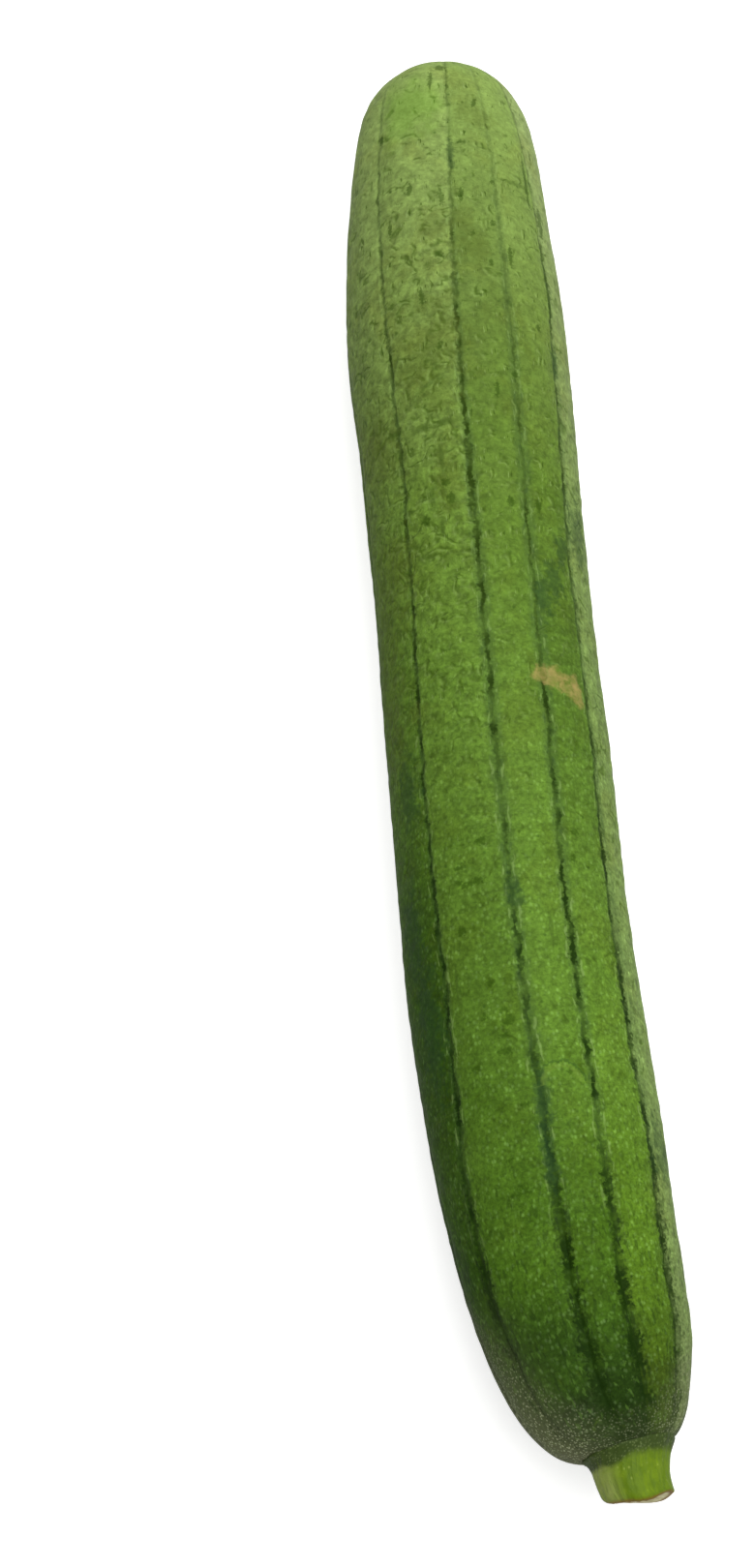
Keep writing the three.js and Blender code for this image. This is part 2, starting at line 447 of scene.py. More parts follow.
# %% [markdown]
# ## From grid to mesh
#
# Both pieces are grids of points whose columns close into rings, with one point at each end. One
# helper makes either: quads between neighbouring rings, and a fan of triangles at each pole. It
# also writes the chart, a flat map of the skin in millimetres with the way round the fruit across
# and the way along it upwards. A chart has a seam, so it is a UV map, which may differ on the two
# sides of a column. Everything that has to be seamless is a plain attribute of the points.

# %% Build closed meshes
def ring_mesh(name, points, poles, chart):
    """A closed mesh from points[ring, column], with a pole before the first ring and one after the
    last. chart[ring, column] has one column more than points, where the last ring closes."""
    rings, columns = points.shape[:2]
    ring, column = np.meshgrid(np.arange(rings - 1), np.arange(columns), indexing="ij")
    corners = np.stack([
        np.stack([ring, ring, ring + 1, ring + 1], -1),
        np.stack([column, column + 1, column + 1, column], -1),
    ], -1).reshape(-1, 4, 2)
    quads = corners[..., 0] * columns + corners[..., 1] % columns
    first, last = rings * columns, rings * columns + 1
    around = np.arange(columns)
    after = (around + 1) % columns
    top = (rings - 1) * columns
    fans = np.concatenate([
        np.stack([after, around, np.full(columns, first)], -1),
        np.stack([top + around, top + after, np.full(columns, last)], -1),
    ])
    mesh = bpy.data.meshes.new(name)
    every_point = np.concatenate([points.reshape(-1, 3), poles])
    mesh.from_pydata((every_point * MM).tolist(), [], quads.tolist() + fans.tolist())
    mesh.shade_smooth()

    quad_chart = chart[corners[..., 0], corners[..., 1]].reshape(-1, 2)
    low_fan = np.stack([chart[0, around + 1], chart[0, around], chart[0, around]], 1)
    high_fan = np.stack([chart[-1, around], chart[-1, around + 1], chart[-1, around]], 1)
    flat_chart = np.concatenate([quad_chart, low_fan.reshape(-1, 2), high_fan.reshape(-1, 2)])
    layer = mesh.uv_layers.new(name="chart")
    layer.data.foreach_set("uv", flat_chart.astype(np.float32).ravel())
    piece = bpy.data.objects.new(name, mesh)
    scene.collection.objects.link(piece)
    print(name, len(quads) * 2 + len(fans), "triangles")
    return piece


def note(piece, name, grid, pole_values):
    """Stores a value, or a vector, for every point of a ring mesh as a named attribute."""
    poles = np.array(pole_values)
    values = np.concatenate([grid.reshape(-1, *poles.shape[1:]), poles]).astype(np.float32)
    kind, field = ("FLOAT", "value") if poles.ndim == 1 else ("FLOAT_VECTOR", "vector")
    attribute = piece.data.attributes.new(name, kind, "POINT")
    attribute.data.foreach_set(field, values.ravel())


# %% Make the skin's mesh
CHART_RADIUS = 26.5
NUB_HOLLOW = 0.5

# The formulas know nothing of the frame's origin, so the grid is moved until its box has the same
# middle as the solid fruit's box.
fruit_low, fruit_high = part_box("fruit")
own_middle = (skin_points.min((0, 1)) + skin_points.max((0, 1))) / 2
PLACE = (np.array(fruit_low) + np.array(fruit_high)) / 2 / MM - own_middle
PLACE[2] = 0

closed_angles = np.concatenate([angles, angles[:, :1] + 2 * np.pi], axis=1)
chart = np.stack([
    (closed_angles - 2 * np.pi) * CHART_RADIUS,
    np.broadcast_to(distances[:, None], closed_angles.shape),
], -1)
tip_centre, tip_along = sections([FRUIT_LENGTH])[:2]
tip = tip_centre[0] + (NUB_HEIGHT - NUB_HOLLOW) * tip_along[0]
fruit_poles = np.array([joint_centre[0], tip])
skin = ring_mesh("skin", skin_points + PLACE, fruit_poles + PLACE, chart)
print("moved by", PLACE.round(2), "mm")

# %% [markdown]
# ## What the finish has to know
#
# A skin's colour depends on where on the fruit it is. So each point carries a few numbers for the
# shader: its place on the straight fruit, its share of the way along, and how far the nearest
# furrow is. Three more belong to its rib. The tone says how much darker or lighter it grew than
# its neighbours, which is why the colour jumps at some furrows. On the two ribs of the left side
# the dark tone is partly painted shade as well. The haze says how pale and dull it is, and at the
# right edge it is partly a painted sheen as well. The rumple says how crinkled the skin is. Nodes
# then mix the colours and the fine grain from them.

# %% Note places and tones on the skin
# The tone of each rib at five even steps from the stalk to the blossom end, from -1, darkest, to 1,
# lightest. The dark tones of ribs 2 and 3, on the left side, are partly painted shade.
RIB_TONES_AND_SHADE = np.array([
    (-0.4, -0.3, -0.3, -0.2, -0.1), (-0.3, -0.3, -0.2, -0.1, 0.0),
    (-0.8, -0.7, -0.5, -0.2, 0.1), (-0.3, -0.8, -0.33, -0.02, 0.1),
    (-0.05, -0.28, -0.14, -0.05, 0.1), (-0.35, -0.1, -0.18, -0.28, -0.02),
    (0.15, 0.0, -0.42, -0.12, 0.0), (0.1, 0.05, -0.15, 0.0, 0.05),
    (0.1, 0.1, 0.1, 0.05, 0.0), (-0.2, -0.15, -0.1, -0.05, 0.0),
])

# How hazy and pale each rib is at the stalk, in the middle and at the blossom end, and how rumpled
# its skin is at six steps from the stalk. On ribs 7 and 8, at the right edge, the haze is partly a
# painted sheen of the bright room.
RIB_HAZES_AND_SHEEN = np.zeros((FURROWS, 3))
RIB_HAZES_AND_SHEEN[[3, 4, 7, 8, 9]] = [
    (0, 0, 0.65), (0, 0, 0.4), (0.9, 0.66, 1.15), (0.9, 0.66, 1.15), (0.2, 0.2, 0.2),
]
PLAIN_RUMPLE = (0.2, 0.3, 0.5, 0.7, 0.5, 0.2)
RIB_RUMPLES = np.tile(PLAIN_RUMPLE, (FURROWS, 1))
RIB_RUMPLES[3:8] = [
    (0.2, 0.4, 0.7, 1.0, 0.6, 0.2), (0.1, 0.2, 0.45, 0.8, 0.7, 0.1),
    (0.1, 0.15, 0.25, 0.35, 0.3, 0.1), (0.1, 0.2, 0.4, 0.5, 0.25, 0.1),
    (0.2, 0.3, 0.6, 0.7, 0.4, 0.2),
]


def over_ribs(table):
    """Values for every point from a list for each rib, smooth between the even steps. A column on a
    furrow has the mean of the ribs beside it."""
    values = catmull_rom(table.T, shares_of_way)
    around = np.repeat(values, COLUMNS_PER_SECTOR, axis=1)
    around[:, ::COLUMNS_PER_SECTOR] = (values + np.roll(values, 1, axis=1)) / 2
    return around


along = np.broadcast_to(shares_of_way[:, None], angles.shape)
tone_and_shade = over_ribs(RIB_TONES_AND_SHADE)
note(skin, "straight", straight, [(0, 0, 0), (0, FRUIT_LENGTH, 0)])
note(skin, "along", along, [0, 1])
note(skin, "furrow", furrow_distance, [0, 0])
note(skin, "beside", furrow_distance * np.where(past_middle, -1, 1), [0, 0])
note(skin, "tone_and_shade", tone_and_shade, [-0.5, 0])
note(skin, "haze_and_sheen", over_ribs(RIB_HAZES_AND_SHEEN), [0, 0])
note(skin, "rumple", over_ribs(RIB_RUMPLES), [0, 0.3])
print("tones from", round(float(tone_and_shade.min()), 2), "to", round(float(tone_and_shade.max()), 2))

# %% [markdown]
# ## How dark and how wide each furrow is drawn
#
# The furrows are hairlines of blackish green over most of the fruit, with a duller band on each
# side. On the shoulder the bands widen and run together round the stalk. No two furrows are alike:
# one is bold as far as the blossom end, another fades out half way. So each of the four on top has
# its own lists of widths and strengths, and those underneath share one. Every line also swells and
# fades a little along its way, by seeded waves.

# %% Set the furrow lines
# For each furrow on top, and for the others: half the line's width in millimetres, its strength
# from 0 to 1, and how far in millimetres the dull band beside it reaches towards the furrow before
# and towards the one after, all at even steps from the stalk.
FURROW_LOOKS = {
    4: (
        [1.6, 1.0, 0.55, 0.48, 0.46, 0.42, 0.34, 0.22],
        [0.8, 0.75, 0.9, 0.88, 0.85, 0.65, 0.35, 0.2],
        [2.5, 2.6, 1.0, 0.8, 0.8, 0.8, 0.6, 0.5],
        [2.2, 2.0, 1.6, 1.0, 0.8, 0.8, 0.8, 0.5],
    ),
    5: (
        [1.8, 1.0, 0.6, 0.5, 0.62, 0.52, 0.38, 0.24],
        [0.9, 0.85, 0.65, 0.66, 0.85, 0.84, 0.4, 0.2],
        [3.0, 1.8, 1.6, 1.8, 1.8, 1.3, 0.8, 0.8],
        [2.8, 2.4, 2.4, 2.2, 2.2, 1.4, 1.0, 0.7],
    ),
    6: (
        [1.9, 0.9, 0.62, 0.54, 0.44, 0.34, 0.26, 0.18],
        [0.9, 0.8, 0.9, 0.85, 0.7, 0.38, 0.16, 0.05],
        [2.8, 1.5, 2.0, 2.0, 2.2, 2.2, 1.0, 0.6],
        [3.0, 2.0, 2.0, 2.2, 2.6, 1.8, 0.9, 0.5],
    ),
    7: (
        [1.6, 1.1, 0.8, 0.55, 0.46, 0.46, 0.42, 0.3],
        [0.8, 0.95, 1.0, 0.85, 0.75, 0.7, 0.5, 0.35],
        [1.8, 1.0, 1.0, 0.8, 0.8, 0.8, 0.6, 0.5],
        [3.2, 2.3, 4.4, 1.6, 1.4, 2.0, 1.0, 0.8],
    ),
}
PLAIN_LOOK = (
    [1.7, 1.0, 0.6, 0.52, 0.48, 0.44, 0.38, 0.22],
    [0.8, 0.75, 0.8, 0.75, 0.7, 0.6, 0.4, 0.25],
    [2.6, 1.8, 1.4, 1.0, 1.0, 1.0, 0.8, 0.6],
    [2.6, 1.8, 1.4, 1.0, 1.0, 1.0, 0.8, 0.6],
)


def own_waves(lengths):
    """Small ups and downs along every furrow, for every point from its nearest one."""
    waves = [wander(distances, lengths, [0.1] * len(lengths)) for _ in range(FURROWS)]
    return np.array(waves)[nearest_furrow].T


looks = np.array([FURROW_LOOKS.get(furrow, PLAIN_LOOK) for furrow in range(FURROWS)])
width, strength, band_before, band_after = (
    catmull_rom(looks[:, kind].T, shares_of_way)[:, nearest_furrow] for kind in range(4)
)
line_width = width * (1 + own_waves([61, 29, 12.7, 7.1]))
line_strength = strength + own_waves([47, 23, 11, 5.9])
band = np.where(past_middle, band_before, band_after)
note(skin, "band", band, [3, 0.6])
note(skin, "line_width", line_width, [2, 0.3])
note(skin, "line_strength", np.clip(line_strength, 0, 1), [0.8, 0.1])
print("lines up to", round(2 * float(line_width.max()), 1), "mm wide")

# %% [markdown]
# ## Marks from the garden
#
# This fruit rubbed against its leaves while it grew. It has a corky tan scar, a few scratches, one
# curved crack, olive patches near the blossom end and a lush green one, dark blots along the
# furrows and a scatter of small spots. Each kind of mark is a list of ellipses, and each point of
# the skin notes how deep inside the nearest of them it lies. The shader cuts the masks out with
# noise, which makes their edges ragged. The shoulder also wears a pale bloom of fine dots, greyest
# on the side that lay in the garden's dust.

# %% List the marks
# Distance from the stalk in millimetres, angle round the fruit in degrees, half the size along and
# half the size across in millimetres and, for a mark that is turned, by how many degrees.
MARKS = {
    "scars": [
        (173.8, 22.5, 2.2, 2.6), (173.0, 28.5, 2.7, 3.0), (172.0, 35.5, 2.6, 3.2),
        (171.0, 40.8, 3.4, 2.5), (169.2, 44.0, 2.5, 1.8),
    ],
    "blots": [
        (121.0, -3, 3.4, 1.5), (118.5, -2, 1.6, 2.4), (72.5, -4, 6, 1.6), (60.5, -6, 8, 1.5),
        (207.5, 45.5, 4, 2.2), (214.5, 63.5, 8, 4), (198.5, 36.5, 5, 2.2, 10), (193.5, 29, 6, 1.8),
        (259.5, 54.5, 4, 1.5), (314.5, 1, 4.5, 0.9), (95.5, -60, 14, 4), (61.5, 66, 6.5, 4.5),
        (150.5, -58, 8, 3.5), (117.5, -66, 10, 4),
    ],
    "spots": [
        (133.6, -17, 1.1, 1.1), (128.5, -28.7, 0.6, 1.9), (124.3, -20.5, 0.8, 2.0),
        (124.9, -30.3, 0.7, 1.1), (123.6, -26.7, 0.6, 1.2), (113.5, -31.5, 1.1, 1.2),
        (100.5, -20.1, 1.0, 0.8), (94.2, -15.6, 0.6, 1.0), (93.4, -25.3, 0.8, 0.8),
        (91.7, -13.6, 1.3, 1.3), (88.1, -16.9, 0.7, 1.2), (84.5, -17.4, 0.7, 2.2),
        (82.5, -34, 0.9, 1.2), (135.1, 31.5, 1.0, 1.0), (128.6, 29, 0.8, 1.0),
        (78.3, 11.1, 0.8, 0.8), (54.2, -22.3, 0.9, 2.8), (61.5, -24.9, 0.8, 1.0),
        (72.2, -13.2, 0.7, 1.2), (260.1, -13, 1.3, 0.8), (224, -17.4, 1.4, 1.0),
        (219.7, -15.2, 1.6, 1.1), (215.4, -30.6, 1.2, 1.3), (247.3, 13.7, 2.4, 0.6),
        (217.8, 15.6, 1.4, 1.1, 30), (217.6, 31.7, 2.4, 0.7), (252, 24.7, 0.9, 0.8),
        (266.5, 42.5, 0.9, 0.9), (339.2, -9.8, 3.6, 0.6), (344.5, -2.9, 1.2, 1.3),
        (317.8, 8.3, 0.6, 1.6, -12), (305.2, -22.9, 1.8, 0.6), (304, -26, 0.7, 1.0),
        (301.5, -6, 2.6, 0.7, 6), (301.8, 5.1, 2.4, 0.6, -8), (306.9, 23.8, 0.9, 0.8),
        (294.3, 21.6, 1.0, 0.8), (295.7, -36.2, 2.8, 0.6), (285.4, 30, 3.0, 0.6),
        (274, -20, 2.8, 0.8, 6), (285.2, -9, 1.0, 1.2), (290, 8.5, 0.6, 1.2, 25),
        (282.3, 18.1, 1.2, 0.6), (323.7, -42.9, 1.8, 0.6), (331.4, 18.4, 1.6, 0.6, -30),
        (310.5, 49.5, 8, 0.7), (281.5, 55.5, 9, 0.7), (300.5, 59.5, 5, 0.9),
    ],
    "olives": [
        (293.7, -10.9, 4.0, 4.0), (294.8, 4, 3.5, 3.5), (286.5, 9, 4, 4), (271.5, -15, 3.5, 5),
        (246.6, -16.4, 3.2, 4.2), (327, 21.1, 4, 3.2), (328.6, 12.9, 3, 2.5), (255.5, -24, 7, 6),
        (262.5, -11, 7, 5), (238.5, -57, 12, 7), (205.5, -56, 12, 6), (168.5, -45, 2.6, 3.2),
        (190.5, -70, 30, 6), (224, -17, 9, 3),
    ],
    "scratches": [
        (308.6, 45, 0.7, 8.5, 5), (304.0, 40, 0.6, 3.5, 14), (239.5, -19.5, 0.9, 8, 4),
        (240.8, -43, 0.7, 3.0), (234.9, -38.8, 0.6, 2.0), (230.7, -18.4, 4.6, 0.7, 3),
        (212.2, -21.4, 2.2, 0.6), (161.9, -25.5, 0.7, 7.0, -40), (166.6, -35, 0.6, 3.0, -10),
        (111.4, 12.6, 4.6, 0.5), (99.8, -37.6, 6.5, 0.5), (121, -13, 0.5, 4.2),
        (177.4, 33.7, 1.0, 2.4, -16), (250, -22, 0.6, 4.0, 30), (256, -18, 0.6, 3.4, -35),
    ],
    "lush": [(331.5, -23, 9, 7)],
}
CRACK = (75.6, 6.5, 5.2)  # the distance and the angle of its middle, and its radius
print(sum(len(marks) for marks in MARKS.values()), "marks")

# %% Note the marks and the bloom
FAR = 9.0
BLOOM_TOP_ANGLE = np.radians(8)
DUSTY_ANGLE, DUSTY_WIDTH, DUST_REACH = np.radians(276), 0.6, 40
REACHES = (6, 52, 10)  # millimetres on top, and how many more underneath and on the dusty side
STRENGTHS = (0.4, 1.3, 0.3)


def wrapped(angle):
    """The same angle in radians, between half a turn back and half a turn on."""
    return np.angle(np.exp(1j * angle))


def offsets(distance, angle):
    """How far every point lies to the side of a place and ahead of it, in millimetres."""
    apart = wrapped(angles - np.radians(angle)) * crowns[:, None]
    return apart, (distances - distance)[:, None]


def depth_in_marks(marks):
    """1 in the middle of a mark, 0 at its edge and below 0 outside it: one minus the distance from
    the middle in half sizes. Where marks overlap, the largest value counts."""
    deepest = np.full(angles.shape, -1.0)
    for distance, angle, half_along, half_across, *turn in marks:
        apart, ahead = offsets(distance, angle)
        turned = np.radians(turn[0] if turn else 0)
        cosine, sine = np.cos(turned), np.sin(turned)
        across = (apart * cosine + ahead * sine) / half_across
        onward = (ahead * cosine - apart * sine) / half_along
        deepest = np.maximum(deepest, 1 - np.hypot(across, onward))
    return deepest


# The crack is half a circle round a place. Each point near it notes how far inside it lies.
distance, angle, radius = CRACK
apart, ahead = offsets(distance, angle)
crack = np.where(ahead > 0, radius - np.hypot(apart, ahead), FAR)
note(skin, "crack", np.clip(crack, -FAR, FAR), [FAR, FAR])

for kind, marks in MARKS.items():
    note(skin, kind, depth_in_marks(marks), [-1, -1])

# The bloom lies on the shoulder, and further out underneath and on the dusty side than on top.
underneath = 0.5 - 0.5 * np.cos(angles - BLOOM_TOP_ANGLE)
dusty_side = bell((angles - DUSTY_ANGLE) / DUSTY_WIDTH)
reach, strength = (
    on_top + more_underneath * underneath + more_dusty * dusty_side
    for on_top, more_underneath, more_dusty in (REACHES, STRENGTHS)
)
bloom = np.clip(1 - distances[:, None] / reach, 0, 1) * strength
note(skin, "bloom", np.clip(bloom, 0, 1), [1, 0])
note(skin, "dusty", dusty_side * np.clip(1 - distances[:, None] / DUST_REACH, 0, 1), [0, 0])
print("bloom on", round(float((bloom > 0).mean()) * 100), "% of the points")

# %% [markdown]
# ## The stalk
#
# The stub is a piece of woody stem, paler than the fruit. It flares where it grows out of the
# shoulder, bows a little, and has five soft ribs and one sharper lengthwise edge. A knife went
# through it at a slant, and the cut is longest on top. It could be a cylinder with a few edits, but
# it has the same ring form as the skin, so the same helper makes it: rings that spread over the cut
# face, turn the rounded rim and run up the side into the fruit, where a low collar meets it. The
# face dries after the cut: its pith sinks, and the ten bundles of fibre in it stand proud.

# %% Shape the stalk
STALK_RADII = [9.3, 8.5, 8.1, 7.8, 7.6]
STALK_RIBS, RIB_HEIGHT = 5, 0.25
STALK_BOW = 1.1
JOINT_GAP = 0.3
STALK_SIDE = STALK_LENGTH - JOINT_GAP
RIM_ROUND = 1.3
EDGE_ANGLE, EDGE_WIDTH, EDGE_HEIGHT = math.radians(-31), 0.35, 0.35
COLLAR_ANGLE, COLLAR_WIDTH = math.radians(-80), 0.8
LEAST_COLLAR, COLLAR_FADE = 0.3, 0.12
FIBRE_HEIGHT, BUMP_HEIGHT = 0.05, 0.06
STALK_COLUMNS, SIDE_RINGS = 180, 44
INSIDE_SHARE = -0.14  # below 0, as the side's last ring lies inside the fruit

turn = np.linspace(0, 2 * np.pi, STALK_COLUMNS, endpoint=False)[None, :]
face_share = np.array([0.08, 0.2, 0.32, 0.42, 0.5, 0.56, 0.62, 0.68, 0.74, 0.8, 0.86, 0.92, 0.96])
side_share = np.linspace(0.9, INSIDE_SHARE, SIDE_RINGS)
side_share = np.concatenate([[1.0, 0.985, 0.96, 0.93], side_share])
to_cut = np.concatenate([np.ones(len(face_share)), side_share])[:, None]
inwards = np.concatenate([face_share, [0.982, 0.994], np.ones(len(side_share) - 2)])[:, None]
profile = catmull_rom(STALK_RADII, to_cut[:, 0])
collar = LEAST_COLLAR + bell(wrapped(turn - COLLAR_ANGLE) / COLLAR_WIDTH)
foot_flare = collar * np.exp(-np.clip(to_cut, -0.02, 1) / COLLAR_FADE)
from_corner = np.clip(RIM_ROUND - (1 - to_cut) * STALK_SIDE, 0, RIM_ROUND)
rounding = RIM_ROUND - np.sqrt(RIM_ROUND ** 2 - from_corner ** 2)
rib = RIB_HEIGHT * np.clip(to_cut, 0, 1) * np.cos(STALK_RIBS * turn)
from_edge = wrapped(turn - EDGE_ANGLE)
edge_ridge = EDGE_HEIGHT * np.exp(-np.abs(from_edge) / EDGE_WIDTH) * np.clip(to_cut * 2, 0, 1)
outer = profile + foot_flare + rib + edge_ridge - rounding

on_face = to_cut >= 1
stalk_straight = pulled_straight(outer * inwards, turn, -STALK_SIDE * to_cut)
fibres = FIBRE_HEIGHT * plane_waves(stalk_straight, (0.9, 2.2), count=40, flatten=(1, 0.06, 1))
bumps = BUMP_HEIGHT * plane_waves(stalk_straight, (2.5, 6), count=30)
stalk_radius = outer * inwards + np.where(on_face, 0, fibres + bumps)
print("stalk", round(2 * float(outer[on_face[:, 0]].mean()), 1), "mm thick at the cut")

# %% Cut and dry its face
SIDE_SLANT, TOP_SLANT, SLANT_TWIST = 0.01, 0.09, 0.08
TWIST_ANGLE = math.radians(-40)
TONGUE, TONGUE_ANGLE = 1.1, math.radians(12)  # the cut's longest part
TONGUE_WIDTH, TONGUE_FADE = 0.6, 0.3
BUNDLES, BUNDLE_RING, BUNDLE_SIZE = 10, 0.68, 0.09  # a size is a share of the face's radius
PITH_SIZE = 0.42
PITH_DEPTH, FACE_DEPTH, BUNDLE_RISE, FACE_ROUGHNESS = 0.45, 0.18, 0.22, 0.04

bundle_ring = bell((inwards - BUNDLE_RING) / BUNDLE_SIZE)
bundle_ring = bundle_ring * np.clip(np.cos(BUNDLES * turn), 0, 1)
pith = bell(inwards / PITH_SIZE)
sunk = PITH_DEPTH * pith + FACE_DEPTH * (1 - inwards ** 8) - BUNDLE_RISE * bundle_ring
roughness = FACE_ROUGHNESS * plane_waves(stalk_straight, (0.8, 2), count=30)
slanted = SIDE_SLANT * np.sin(turn) + TOP_SLANT * np.cos(turn)
slanted = slanted + SLANT_TWIST * np.cos(2 * (turn - TWIST_ANGLE))
slant = -slanted * to_cut * np.abs(to_cut) * stalk_radius
tongue = TONGUE * bell(wrapped(turn - TONGUE_ANGLE) / TONGUE_WIDTH)
tongue = tongue * bell((1 - to_cut) / TONGUE_FADE)
slant = slant - tongue * np.clip(inwards, 0, 1) ** 2
stalk_lift = slant + np.where(on_face, sunk + roughness, 0)
print("cut up to", round(-float(slant.min()), 1), "mm longer than a straight one")

# %% Make the stalk's mesh
MIDDLE_SUNK = 0.6  # how far the middle of the face lies inside the cut
FOOT_INSIDE = 2.0  # how far the foot's last point lies inside the fruit
FACE_RADIUS = 7.4
CHART_STALK_RADIUS = 8

stalk_distances = -JOINT_GAP - to_cut[:, 0] * STALK_SIDE
every_turn = np.broadcast_to(turn, outer.shape)
stalk_points = on_sections(stalk_distances, stalk_radius, every_turn, stalk_lift)
stalk_side = sections(stalk_distances)[2]
stalk_points -= (STALK_BOW * np.sin(np.pi * to_cut) * stalk_side)[:, None, :]
cut_centre, cut_along = sections([-STALK_LENGTH])[:2]
face_middle = cut_centre[0] + MIDDLE_SUNK * cut_along[0]
stalk_poles = np.array([face_middle, sections([FOOT_INSIDE])[0][0]])

stalk_turns = np.concatenate([turn, [[2 * np.pi]]], axis=1)
stalk_chart = [stalk_turns * CHART_STALK_RADIUS, stalk_distances[:, None]]
stalk_chart = np.stack(np.broadcast_arrays(*stalk_chart), -1)
stalk = ring_mesh("stalk_skin", stalk_points + PLACE, stalk_poles + PLACE, stalk_chart)

# Millimetres over the surface from the rim of the cut: below 0 on the face, above 0 on the side.
from_cut = (1 - to_cut) * STALK_SIDE
from_rim = np.where(on_face, (inwards - 1) * FACE_RADIUS, from_cut) * np.ones_like(turn)
note(stalk, "straight", stalk_straight, [(0, -STALK_LENGTH, 0), (0, 0, 0)])
note(stalk, "from_rim", from_rim, [-FACE_RADIUS, 10])
note(stalk, "from_edge", from_edge * np.ones_like(outer), [0, 0])
note(stalk, "bundle", bundle_ring * np.ones_like(turn) * on_face, [0, 0])

# %% [markdown]
# ## Patterns that both finishes share
#
# Plant skin has a few kinds of fine detail that come back at every scale, so each is a node group
# with named inputs. Mottle is soft blotches. Flecks are small marks, drawn out across or along the
# fruit. Curls are thin bent lines, which follow one level of a noise as a contour line follows a
# hill. Stipple is tiny dots, such as the pores of the skin, each in a cell of its own. Ragged cuts
# a mask out of a depth, with noise along its edge. All are in millimetres, so that a size in the
# shader is a size on the gourd.

# %% Helpers for node groups
NOISE_LOW, NOISE_HIGH = 0.3, 0.7  # nearly all of a noise lies between these


def plus(first, second):
    return maths("ADD", first, second)


def minus(first, second, **settings):
    return maths("SUBTRACT", first, second, **settings)


def vector_maths(operation, first, second):
    return add("VectorMath", {0: first, 1: second}, operation=operation)


def soft_step(value, low, high, to_low=0.0, to_high=1.0):
    """Goes smoothly from to_low to to_high as the value goes from low to high."""
    return spread(value, to_low, to_high, low, high, interpolation_type="SMOOTHSTEP")


def noise(where, scale, detail, roughness=0.5, distortion=0.0):
    """Cloudy noise round 0.5, with about as many clouds in a millimetre as the scale says."""
    inputs = {"Vector": where, "Scale": scale, "Detail": detail, "Roughness": roughness}
    return add("TexNoise", {**inputs, "Distortion": distortion})


def group(name, output, **inputs):
    """Starts a node group with value or vector inputs and one output value. Gives back the tree,
    its inputs by name, and a function that joins the output."""
    tree = bpy.data.node_groups.new(name, "ShaderNodeTree")
    for label, default in inputs.items():
        kind = "NodeSocketVector" if isinstance(default, tuple) else "NodeSocketFloat"
        tree.interface.new_socket(label, in_out="INPUT", socket_type=kind).default_value = default
    tree.interface.new_socket(output, in_out="OUTPUT", socket_type="NodeSocketFloat")
    entry = tree.nodes.new("NodeGroupInput")
    way_out = tree.nodes.new("NodeGroupOutput")
    return tree, entry.outputs, lambda value: tree.links.new(value, way_out.inputs[output])


# %% Mottle, flecks and curls
tree, given, put_out = group("mottle", "Value", Place=(0, 0, 0), Size=4.0, Detail=3.0)
scale = maths("DIVIDE", 1.0, given["Size"])
clouds = noise(given["Place"], scale, given["Detail"], 0.62, 0.4)
put_out(spread(clouds, 0.0, 1.0, NOISE_LOW, NOISE_HIGH))

tree, given, put_out = group("flecks", "Mask", Place=(0, 0, 0), Stretch=(1, 1, 1), Share=0.2)
stretched = vector_maths("DIVIDE", given["Place"], given["Stretch"])
threshold = spread(given["Share"], 0.76, 0.40)
put_out(soft_step(minus(noise(stretched, 1.0, 2.0, 0.5, 0.3), threshold), -0.02, 0.06))

tree, given, put_out = group("curls", "Mask", Place=(0, 0, 0), Size=3.0, Width=0.05, Share=0.5)
scale = maths("DIVIDE", 1.0, given["Size"])
off_level = maths("ABSOLUTE", minus(noise(given["Place"], scale, 1.5, 0.5, 0.6), 0.5))
presence = noise(given["Place"], times(scale, 1.4), 1.0)
presence = minus(presence, spread(given["Share"], 0.7, 0.3))
put_out(times(soft_step(off_level, given["Width"], 0.0), soft_step(presence, -0.06, 0.12)))
print("groups", [made.name for made in bpy.data.node_groups])

# %% Stipple and ragged masks
tree, given, put_out = group("stipple", "Mask", Place=(0, 0, 0), Spacing=1.5, Dot=0.3, Share=0.6)
scale = maths("DIVIDE", 1.0, given["Spacing"])
from_middle = add("TexVoronoi", {"Vector": given["Place"], "Scale": scale}, output="Distance")
lot = add("SeparateColor", {"Color": from_middle.node.outputs["Color"]})  # random in each cell
strength = maths("DIVIDE", minus(given["Share"], lot), 0.5, use_clamp=True)
dot = soft_step(from_middle, given["Dot"], times(given["Dot"], 0.3))
put_out(times(dot, strength))

tree, given, put_out = group(
    "ragged", "Mask", Place=(0, 0, 0), Depth=0.0, Size=1.5, Raggedness=0.6, Softness=0.2
)
scale = maths("DIVIDE", 1.0, given["Size"])
shift = minus(noise(given["Place"], scale, 3.0, 0.65), 0.5)
shift = times(shift, times(given["Raggedness"], 4.0))
edge = plus(given["Depth"], shift)
put_out(soft_step(edge, times(given["Softness"], -1.0), given["Softness"]))
print("groups", [made.name for made in bpy.data.node_groups])

# %% [markdown]
# ## The skin's finish
#
# The skin is built up as a painter would: first the colour that changes from the stalk to the
# blossom end, then the tone of each rib, with some painted shade on the left and painted sheen at
# the right edge, and broad blotches, then curls, strokes, pores and the veins of the shoulder, with
# painted highlights beside the curls, strokes and veins. The dark furrow lines come next, with a
# dull band round them and pale lips beside them, then the few marks that this one fruit picked up
# while it grew, and last the dust.
# The bump uses the same masks as the colours, so that a scar stands up where it is brown and a
# furrow sinks where it is black. The skin is satiny but hardly shines: its gloss is nearly off, and
# only its blotches differ in roughness.
#
# Colours are written as a colour picker shows them and turned into the linear values that light is
# calculated with. Most steps lay one more colour over the finish so far, which is always named
# colour, so that step has a helper too.

# %% Helpers for a finish
BUMP_STRENGTH, BUMP_DEPTH = 0.6, 0.4 * MM
DUST_DOTS = (0.6, 0.46, 1.1)  # their spacing in millimetres, their size and how many cells have one


